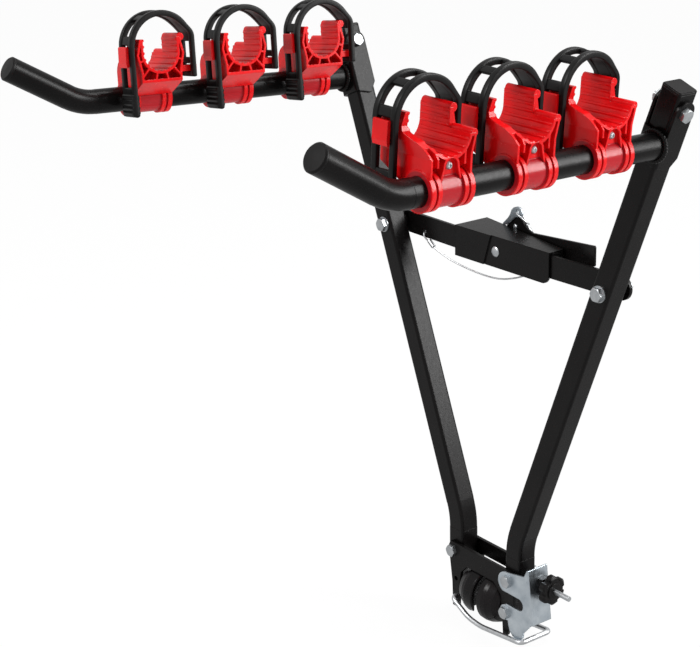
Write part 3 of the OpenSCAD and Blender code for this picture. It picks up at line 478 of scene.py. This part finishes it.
@dataclass(frozen=True)
class LadderStrap:
    """A rubber ladder strap: two rails with rungs between the windows, and a ribbed grip.

    The path is a straight from the foot up the front, an arc over the tube, a short slope
    and a straight down the back. Sizes are millimetres in the saddle's frame: forward is
    -Y, up is Z and the strap's width runs along X.
    """

    mid_x: float = -34.5
    width: float = 29.0
    thick: float = 5.0
    window: float = 16.0
    arc_r: float = 35.5
    arc_s: float = -3.0
    arc_z: float = 55.0
    arc_deg: float = 138.0
    back: float = 39.5
    foot_z: float = -18.0
    tip_z: float = 20.0
    grip: float = 25.0
    swell: float = 0.7
    swell_ease: float = 16.0
    front_windows: tuple[tuple[float, float], ...] = ((32.0, 54.0), (61.0, 76.0))
    arc_windows_deg: tuple[tuple[float, float], ...] = ((21.0, 52.0), (66.0, 97.0))
    tip_windows: tuple[tuple[float, float], ...] = ((38.0, 21.0), (14.0, 6.0))
    rung_lap: float = 1.2
    rung_below: float = 0.25
    grip_inset: float = 0.5
    grip_side: float = 0.2
    grip_half: float = 4.7
    grip_lift: float = 0.25
    rib_height: float = 0.5
    rib_pitch: float = 5.0
    bend: float = 9.0
    end_round: float = 1.4
    end_rings: int = 5
    end_limit: float = 0.98
    squareness: float = 6.0
    around: int = 28
    arc_points: int = 60
    ring_step: float = 1.2
    least_rings: int = 4
    step: float = 1.0

    def path(self) -> tuple[Points, Points]:
        """The centre line in forward and up, evenly spaced and smoothed at its bends.

        Returns:
            Lengths from the foot, and points (n, 2).
        """
        a = np.radians(np.linspace(0, self.arc_deg, self.arc_points))
        arc = np.stack([self.arc_s + self.arc_r * np.cos(a), self.arc_z + self.arc_r * np.sin(a)], -1)
        down = np.array([-np.sin(a[-1]), np.cos(a[-1])])
        kink = arc[-1] + down * (arc[-1, 0] + self.back) / np.sin(a[-1])
        ends = (arc[0, 0], self.foot_z), (-self.back, self.tip_z)
        return softened(np.concatenate([ends[:1], arc, [kink], ends[1:]]), self.step, self.bend)

    def band(self, start: float, end: float, x: float, half_w: float, half_t: float,
             ribs: float = 0.0, lift: float = 0.0, swell: float = 0.0) -> Shell:
        """A rounded band along part of the path: a superellipse section whose size falls to
        the ends as sqrt(1 - d * d), with optional ribs and a swell over the arc,
        t = t0 + r * cos(2 pi q / p) + w * e * e * (3 - 2 * e), where e eases from 0 to 1.

        Args:
            start: Length from the foot where it starts.
            end: Length where it ends.
            x: Middle of the band across the strap.
            half_w: Half width.
            half_t: Half thickness.
            ribs: Height of the ribs across it.
            lift: Offset outwards from the centre line.
            swell: Added half thickness over the arc.
        Returns:
            Vertices in saddle millimetres, and faces.
        """
        q_all, line = self.path()
        ease = min(self.end_round, (end - start) / 3)
        edge = ease * (1 - np.cos(np.linspace(0, np.pi / 2, self.end_rings)))
        rings = max(self.least_rings, int((end - start) / self.ring_step))
        inner = np.linspace(start + ease, end - ease, rings)
        q = np.concatenate([start + edge[:-1], inner, end - edge[:-1][::-1]])
        d = np.clip(np.maximum(start + ease - q, q - end + ease) / ease, 0, self.end_limit)
        size = np.sqrt(1 - d * d)
        s, h = (np.interp(q, q_all, axis) for axis in line.T)
        ds, dh = (np.interp(q, q_all, np.gradient(axis)) for axis in line.T)
        norm = np.hypot(ds, dh)
        out = np.stack([np.zeros_like(q), -dh / norm, -ds / norm], -1)
        centre = np.stack([np.full_like(q, x), -s, h], -1) + lift * out
        across = np.tile([-1.0, 0.0, 0.0], (len(q), 1))
        turn = self.arc_z - self.foot_z
        past = turn + math.radians(self.arc_deg) * self.arc_r
        e = np.clip(np.minimum(q - turn, past - q) / self.swell_ease + 0.5, 0, 1)
        t = half_t + ribs * np.cos(2 * np.pi * q / self.rib_pitch) + swell * e * e * (3 - 2 * e)
        section = soft_rectangle(half_w - ease * (1 - size), t * size, self.squareness, self.around)
        return swept(centre, across, out, section)

    def windows(self) -> list[tuple[float, float]]:
        """Spans of the windows along the path, from the foot.

        Returns:
            Start and end of each window.
        """
        turn = self.arc_z - self.foot_z
        per_deg = self.arc_r * math.pi / 180
        total = float(self.path()[0][-1])
        over_arc = [(turn + a * per_deg, turn + b * per_deg) for a, b in self.arc_windows_deg]
        down_back = [(total - a, total - b) for a, b in self.tip_windows]
        return [*self.front_windows, *over_arc, *down_back]

    def shells(self) -> list[Shell]:
        """Rails, rungs and grip of one strap.

        Returns:
            Closed shells in saddle millimetres.
        """
        total = float(self.path()[0][-1])
        rail = (self.width - self.window) / 4
        off = self.width / 2 - rail
        cuts = [0.0] + [v for w in self.windows() for v in w] + [total]
        rungs = [self.band(a, b, self.mid_x, self.window / 2 + self.rung_lap,
                           self.thick / 2 - self.rung_below)
                 for a, b in zip(cuts[::2], cuts[1::2])]
        rails = [self.band(0, total, self.mid_x + sign * off, rail, self.thick / 2, swell=self.swell)
                 for sign in (-1, 1)]
        grip = self.band(self.grip_inset, self.grip - self.grip_inset, self.mid_x,
                         self.width / 2 - self.grip_side, self.grip_half, ribs=self.rib_height,
                         lift=self.grip_lift)
        return rails + rungs + [grip]

    def build(self, palette: Palette, places: CarryingFrame) -> None:
        """Makes the six straps on their saddles.

        Args:
            palette: Materials.
            places: Where the saddles are.
        """
        parts = self.shells()
        for key, body, at in places.saddles():
            palette.new_piece(f"ladder_strap_{key}", [placed(p, at) for p in parts], body,
                              Finishes.BLACK_RUBBER, [f"strap_{key}"])


@dataclass(frozen=True)
class Lanyard:
    """The thin wire rope between the left bar's eye and the pull tab, with crimped loops.

    The route repeats the one in the part's source, in millimetres.
    """

    eye: tuple[float, float, float] = (-141.0, 0.0, 407.948)
    bar_y: float = 18.0
    bar_back: float = 22.0
    pivot: tuple[float, float, float] = (-12.0, 50.961, 412.848)
    slope: float = -25.0 / 154.0
    handle_back: float = 4.8
    tab_mid: float = 1.3
    hole: tuple[float, float] = (-5.3, 37.4)
    radius: float = 1.0
    steps: int = 16
    strands: int = 6
    give_from: tuple[float, float, float] = (-0.06, 0.03, 0.374)
    give_to: tuple[float, float, float] = (-0.01, 0.03, 0.399)
    lay_mm: float = 11.0
    groove: float = 0.06
    around: int = 24
    ferrule_at: tuple[float, float] = (-1.5, 27.6)
    ferrule_off: float = 3.2
    ferrule_step: tuple[float, float, float] = (7.4, 0.0, -6.2)
    tail_off: tuple[float, float, float] = (2.2, 0.4, 2.0)

    def on_handle(self, local: Points) -> Points:
        """Points of the handle's own frame, which is turned about Z along the slanted wall.

        Args:
            local: Distance along the handle, out from the wall, and up from the pivot.
        Returns:
            The points in the model.
        """
        turn = math.atan(self.slope)
        c, s = math.cos(turn), math.sin(turn)
        x, y, z = local.T
        return np.stack([x * c - y * s, x * s + y * c, z], -1) + np.array(self.pivot)

    def route(self) -> Points:
        """The listed points, then a Catmull-Rom curve through them: each span is
        b + t/2 * ((c - a) + t * ((2a - 5b + 4c - d) + t * (3b - a - 3c + d))).

        Returns:
            Points along the curve, in millimetres.
        """
        y, back, (hx, hz) = self.bar_y, self.bar_back, self.hole
        left = np.array(self.eye) + np.array([
            (9, back - 0.7, -11), (4, back + 1.8, -6), (1, back + 1.7, -1.5), (0, y + 2, 0),
            (1, y - 1.7, -1.5), (4, y - 1.8, -6), (9, y + 0.7, -11), (18, y + 2, -17), (42, y + 7, -27),
            (79, y + 12, -33.5), (112, y + 15, -34), (136, y + 20, -29), (152, y + 27, -22)])
        ferrule = np.array([self.ferrule_at[0], self.handle_back + self.ferrule_off, self.ferrule_at[1]])
        ferrule = ferrule + np.outer([3, 2, 1, 0, 0.7], self.ferrule_step)
        right = self.on_handle(np.concatenate([
            [(27, 3, -23), (31, self.handle_back + 6, -4)], ferrule[:4],
            [(hx + 1.8, self.tab_mid + 3, hz - 1), (hx, self.tab_mid, hz), (hx + 1.6, -1.6, hz - 0.6),
             (hx + 8, -1.2, hz - 3), (hx + 12.5, self.tab_mid + 2, hz - 8.6)], ferrule[4:]]))
        right[-1] += self.tail_off
        p = np.concatenate([left, right])
        a, b = np.concatenate([p[:1], p[:-2]]), p[:-1]
        c, d = p[1:], np.concatenate([p[2:], p[-1:]])
        t = np.linspace(0, 1, self.steps, endpoint=False)[None, :, None]
        a, b, c, d = (v[:, None] for v in (a, b, c, d))
        curve = b + 0.5 * t * ((c - a) + t * ((2 * a - 5 * b + 4 * c - d) + t * (3 * b - a - 3 * c + d)))
        return np.concatenate([curve.reshape(-1, 3), p[-1:]])

    def build(self, palette: Palette) -> None:
        """Args:
            palette: Materials.
        """
        line = self.route()
        across, over = carried_axes(line)
        run = lengths_along(line)
        phi = even_angles(self.around)
        turn = phi[None] - 2 * np.pi * run[:, None] / self.lay_mm
        r = self.radius * (1 - self.groove + self.groove * np.abs(np.cos(turn * self.strands / 2)))
        section = np.stack([r * np.cos(phi), r * np.sin(phi)], -1)
        pts, faces = swept(line, across, over, section)
        rope = palette.new_piece("lanyard_rope", [(pts * MM, faces)], None,
                                 Finishes.BRIGHT_STEEL_WIRE, ["lanyard_wire"])
        LOG.info("lanyard of %.1f mm", run[-1])
        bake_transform(rope)


@dataclass(frozen=True)
class WireBail:
    """The bent wire that closes the clamp under the ball: two strands and a cross end.

    Sizes are millimetres; the corners lie in the XZ drawing of the part's source.
    """

    corners: tuple[tuple[float, float], ...] = (
        (-44.5, -17.0), (-15.0, -32.0), (7.0, -34.3), (77.0, -26.0))
    strand_y: float = 22.8
    inside_y: float = 12.4
    radius: float = 3.0
    bend: float = 14.0
    step: float = 1.0
    around: int = 28

    def build(self, palette: Palette) -> None:
        """A round tube along the softened line from one plate, round the bail and into the other:
        point = centre + r * (cos * across + sin * over).

        Args:
            palette: Materials.
        """
        x, z = np.array(self.corners).T
        strand = np.stack([x, np.full_like(x, -self.strand_y), z], -1)
        pin = strand[:1] + (0, self.strand_y - self.inside_y, 0)
        half = np.concatenate([pin, strand])
        _, line = softened(np.concatenate([half, half[::-1] * (1, -1, 1)]), self.step, self.bend)
        across, over = carried_axes(line)
        phi = even_angles(self.around)
        ring = self.radius * np.stack([np.cos(phi), np.sin(phi)], -1)
        pts, faces = swept(line, across, over, np.broadcast_to(ring, (len(line), *ring.shape)))
        palette.new_piece("wire_bail", [(pts * MM, faces)], "bail", Finishes.BRIGHT_STEEL_WIRE,
                          ["bail_wire"])


@dataclass(frozen=True)
class WeldBead:
    """The weld that joins each arm tube to its bracket: a rippled ring of fused metal.

    Sizes are millimetres in the arm's frame.
    """

    centre_y: float = -1.4
    section_r: float = 2.7
    ripple: float = 0.14
    drops: int = 34
    lean: float = 0.8
    off_tube: float = 1.0
    around: int = 204
    section_around: int = 14

    def build(self, palette: Palette, places: CarryingFrame) -> None:
        """A ring round the tube whose section radius is r * (1 + k * cos(n * f + lean * cos(g))).

        Args:
            palette: Materials.
            places: Where the arms are.
        """
        f, g = even_angles(self.around), even_angles(self.section_around)
        ring, sect = np.meshgrid(f, g, indexing="ij")
        r = self.section_r * (1 + self.ripple * np.cos(self.drops * ring + self.lean * np.cos(sect)))
        far = places.arm_r + self.off_tube + r * np.cos(sect)
        pts = np.stack([far * np.cos(ring), self.centre_y + r * np.sin(sect), far * np.sin(ring)], -1)
        a, b = np.meshgrid(np.arange(len(f)), np.arange(len(g)), indexing="ij")
        a2, b2 = (a + 1) % len(f), (b + 1) % len(g)
        n = len(g)
        faces = np.stack([a * n + b, a * n + b2, a2 * n + b2, a2 * n + b], -1).reshape(-1, 4).tolist()
        for side in Side:
            name = side.name.lower()
            palette.new_piece(f"arm_weld_{name}", [placed((pts.reshape(-1, 3), faces), places.arm(side))],
                              f"{name}_arm", Finishes.BLACK_POWDER_COAT)


@dataclass(frozen=True)
class GrooveRibs:
    """The moulded ribs on the back wall of each saddle's groove, which grip the bike's tube.

    They run along X and stand half out of the wall: round the curve below the groove's axis
    at even angles, and up the tall part at even steps. Sizes are millimetres in the saddle's frame.
    """

    groove_r: float = 20.0
    groove_h: float = 49.0
    low_h: float = 47.0
    radius: float = 1.7
    sunk: float = 0.5
    turn_deg: float = 20.0
    round_curve: int = 4
    rise: float = 6.4
    up_wall: int = 2
    inner_x: float = -49.0
    step_x: float = -12.0
    outer_x: float = 14.0
    tip_turn: float = 0.1
    end_rings: int = 6
    ellipse: float = 2.0
    around: int = 24

    def places(self) -> list[tuple[float, float]]:
        """Centres of the ribs as Y and Z, from the curve's lowest to the wall's highest.

        Returns:
            One pair for each rib.
        """
        far = self.groove_r + self.sunk
        down = [math.radians(self.turn_deg * k) for k in range(self.round_curve - 1, -1, -1)]
        return [(far * math.cos(a), self.groove_h - far * math.sin(a)) for a in down] + [
            (far, self.groove_h + self.rise * k) for k in range(1, self.up_wall + 1)]

    def rib(self, y: float, z: float) -> Shell:
        """One rod along X whose ends are rounded as sqrt(1 - d * d).

        Args:
            y: Its centre along Y.
            z: Its centre along Z.
        Returns:
            Vertices in saddle millimetres, and faces.
        """
        reach = self.outer_x if z + self.radius < self.low_h else self.step_x
        dome = self.radius * (1 - np.cos(np.linspace(self.tip_turn, np.pi / 2, self.end_rings)))
        x = np.concatenate([self.inner_x + dome, reach - dome[::-1]])
        d = 1 - np.minimum(np.minimum(x - self.inner_x, reach - x) / self.radius, 1)
        r = self.radius * np.sqrt(1 - d * d)
        centre = np.stack([x, np.full_like(x, y), np.full_like(x, z)], -1)
        across, over = np.tile([0.0, 1.0, 0.0], (len(x), 1)), np.tile([0.0, 0.0, 1.0], (len(x), 1))
        return swept(centre, across, over, soft_rectangle(r, r, self.ellipse, self.around))

    def build(self, palette: Palette, places: CarryingFrame) -> None:
        """Makes the ribs of the six saddles.

        Args:
            palette: Materials.
            places: Where the saddles are.
        """
        rods = [self.rib(y, z) for y, z in self.places()]
        for key, body, at in places.saddles():
            palette.new_piece(f"groove_ribs_{key}", [placed(rod, at) for rod in rods], body,
                              Finishes.RED_PLASTIC)


@dataclass(frozen=True)
class CarrierSteelwork:
    """The solids kept from the frame, sorted by what each is made of."""

    powder: tuple[str, ...] = (
        "base_plate_front", "base_plate_back", "leg_left", "leg_right", "brace_bar_left",
        "brace_bar_right", "brace_channel", "brace_handle", "arm_bracket_left", "arm_bracket_right",
        "arm_tube_left", "arm_tube_right")
    paint: tuple[str, ...] = ("cup_left", "cup_right")
    plated: tuple[str, ...] = (
        "base_bolts", "base_nuts", "cup_bolt", "cup_nut", "knob_stud",
        "brace_bolt_left", "brace_bolt_right", "brace_nut_left", "brace_nut_right", "brace_rivet",
        "tab_rivet", "arm_bolt_left", "arm_bolt_right", "arm_nut_left", "arm_nut_right",
        "cradle_screws_left", "cradle_screws_right")
    sheet: tuple[str, ...] = ("lock_plate", "pull_tab")
    wire: tuple[str, ...] = ("lanyard_crimp_left", "lanyard_crimp_right")
    plastic: tuple[str, ...] = (
        "star_knob", "knob_washer", "stud_block", "leg_cap_left", "leg_cap_right", "arm_plug_left",
        "arm_plug_right", "brace_spacer_left", "brace_spacer_right")
    saddles: tuple[str, ...] = (
        "cradle_left_1", "cradle_left_2", "cradle_left_3", "cradle_right_1", "cradle_right_2",
        "cradle_right_3")

    def dress(self, palette: Palette) -> None:
        """Gives every kept solid its finish.

        Args:
            palette: Materials.
        """
        groups = ((self.powder, Finishes.BLACK_POWDER_COAT), (self.paint, Finishes.BLACK_PAINTED_CUPS),
                  (self.plated, Finishes.ZINC_PLATED_FASTENERS), (self.sheet, Finishes.ZINC_PLATED_SHEET),
                  (self.wire, Finishes.BRIGHT_STEEL_WIRE), (self.plastic, Finishes.BLACK_PLASTIC),
                  (self.saddles, Finishes.RED_PLASTIC))
        for names, finish in groups:
            for name in names:
                palette.dress(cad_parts[name], finish)
            LOG.info("%s on %d solids", finish.value.name, len(names))


@dataclass(frozen=True)
class PhotoView:
    """The camera of the photograph: place and aim in millimetres, lens in pixels, roll in radians
    and the clipping range in metres.
    """

    place: tuple[float, float, float] = (1319.87, -1158.62, 933.57)
    aim: tuple[float, float, float] = (-22.37, -185.29, 383.89)
    roll: float = -0.02618
    focal_px: float = 1655.23
    width_px: float = 700.0
    height_px: float = 647.0
    centre_px: tuple[float, float] = (345.6, 311.2)
    sensor_mm: float = 36.0
    clip: tuple[float, float] = (0.05, 50.0)

    def build(self) -> None:
        """Makes the camera: its axes from place and aim, rolled about the line of sight."""
        data = bpy.data.cameras.new("photo_camera")
        camera = bpy.data.objects.new("photo_camera", data)
        bpy.context.scene.collection.objects.link(camera)
        back = (Vector(self.place) - Vector(self.aim)).normalized()
        right = Vector((0, 0, 1)).cross(back).normalized()
        up = back.cross(right)
        c, s = math.cos(self.roll), math.sin(self.roll)
        axes = Matrix((c * right + s * up, c * up - s * right, back)).transposed().to_4x4()
        camera.matrix_world = Matrix.Translation(Vector(self.place) * MM) @ axes
        data.sensor_width = self.sensor_mm
        data.lens = self.focal_px / self.width_px * self.sensor_mm
        data.shift_x = (self.width_px / 2 - self.centre_px[0]) / self.width_px
        data.shift_y = (self.centre_px[1] - self.height_px / 2) / self.width_px
        data.clip_start, data.clip_end = self.clip
        bpy.context.scene.camera = camera
        LOG.info("camera with a %.1f mm lens", data.lens)


@dataclass(frozen=True)
class Softbox:
    """One large area lamp aimed at the rack, in metres."""

    name: str
    place: tuple[float, float, float]
    size: tuple[float, float]
    watts: float

    def build(self, aim: tuple[float, float, float]) -> None:
        """Makes the lamp and points it.

        Args:
            aim: The point it faces, in metres.
        """
        data = bpy.data.lights.new(self.name, "AREA")
        data.shape = "RECTANGLE"
        data.size, data.size_y = self.size
        data.energy = self.watts
        lamp = bpy.data.objects.new(self.name, data)
        lamp.location = self.place
        lamp.rotation_mode = "QUATERNION"
        lamp.rotation_quaternion = (Vector(aim) - Vector(self.place)).to_track_quat("-Z", "Y")
        bpy.context.scene.collection.objects.link(lamp)


@dataclass(frozen=True)
class Studio:
    """A white studio: pale floor, soft lamps and a white surround, in metres."""

    floor_z: float = -0.038
    floor_half: float = 9.0
    aim: tuple[float, float, float] = (0.0, -0.15, 0.35)
    fill: float = 0.5
    mirrored: float = 0.6
    paper_seen: float = 0.95
    paper_hex: str = "#f4f4f4"
    white_hex: str = "#ffffff"
    boxes: tuple[Softbox, ...] = (
        Softbox("key_softbox", (-0.6, -2.6, 2.6), (1.1, 1.1), 62.0),
        Softbox("side_softbox", (1.55, 1.35, 1.4), (0.7, 1.7), 54.0),
        Softbox("top_softbox", (0.2, 0.9, 2.9), (1.3, 0.7), 36.0))

    def floor(self) -> None:
        """A square sheet that the camera sees as white, with a trace of the rack's shadow."""
        f = self.floor_half
        mesh = bpy.data.meshes.new("studio_floor")
        mesh.from_pydata([(-f, -f, self.floor_z), (f, -f, self.floor_z), (f, f, self.floor_z),
                          (-f, f, self.floor_z)], [], [(0, 1, 2, 3)])
        sheet = bpy.data.objects.new("studio_floor", mesh)
        bpy.context.scene.collection.objects.link(sheet)
        mat = bpy.data.materials.new("white_studio_paper")
        mat.use_nodes = True
        tree = mat.node_tree
        tree.nodes.clear()
        paper = add_node(tree, "ShaderNodeBsdfDiffuse", {"Color": linear(self.paper_hex)})
        rays = add_node(tree, "ShaderNodeLightPath")
        level = add_node(tree, "ShaderNodeMapRange", {"Value": rays.outputs["Is Glossy Ray"],
                                                      "To Min": 1.0, "To Max": self.mirrored})
        bright = add_node(tree, "ShaderNodeEmission", {"Color": linear(self.white_hex),
                                                       "Strength": level.outputs[0]})
        direct = add_node(tree, "ShaderNodeMath", {0: rays.outputs["Is Camera Ray"], 1: self.paper_seen},
                          operation="MULTIPLY")
        share = add_node(tree, "ShaderNodeMath", {0: direct.outputs[0], 1: rays.outputs["Is Glossy Ray"]},
                         operation="MAXIMUM")
        both = add_node(tree, "ShaderNodeMixShader", {0: share.outputs[0], 1: paper.outputs[0],
                                                      2: bright.outputs[0]})
        add_node(tree, "ShaderNodeOutputMaterial", {"Surface": both.outputs[0]})
        mesh.materials.append(mat)

    def surround(self) -> None:
        """A world that is white to camera and transmitted rays, greyer in reflections, and a soft
        fill to the rest.
        """
        world = bpy.data.worlds.new("white_studio")
        bpy.context.scene.world = world
        world.use_nodes = True
        tree = world.node_tree
        tree.nodes.clear()
        rays = add_node(tree, "ShaderNodeLightPath")
        seen = add_node(tree, "ShaderNodeMath",
                        {0: rays.outputs["Is Camera Ray"], 1: rays.outputs["Is Transmission Ray"]},
                        operation="MAXIMUM")
        level = add_node(tree, "ShaderNodeMapRange", {"Value": rays.outputs["Is Glossy Ray"],
                                                      "To Min": self.fill, "To Max": self.mirrored})
        soft = add_node(tree, "ShaderNodeBackground", {"Color": linear(self.white_hex),
                                                       "Strength": level.outputs[0]})
        white = add_node(tree, "ShaderNodeBackground", {"Color": linear(self.white_hex), "Strength": 1.0})
        both = add_node(tree, "ShaderNodeMixShader", {0: seen.outputs[0], 1: soft.outputs[0],
                                                      2: white.outputs[0]})
        add_node(tree, "ShaderNodeOutputWorld", {"Surface": both.outputs[0]})

    def build(self) -> None:
        """Sets the plain view transform and makes floor, surround and lamps."""
        bpy.context.scene.view_settings.view_transform = "Standard"
        self.floor()
        self.surround()
        for lamp in self.boxes:
            lamp.build(self.aim)
        LOG.info("studio with %d lamps", len(self.boxes))


def main() -> None:
    """Builds the rack's looks in order: camera and cord first, then pieces, finishes and studio."""
    logging.basicConfig(level=logging.INFO, format="%(name)s: %(message)s")
    palette = Palette()
    places = CarryingFrame()
    PhotoView().build()
    Lanyard().build(palette)
    WireBail().build(palette)
    LadderStrap().build(palette, places)
    WeldBead().build(palette, places)
    GrooveRibs().build(palette, places)
    CarrierSteelwork().dress(palette)
    Studio().build()


if __name__ == "__main__":
    main()
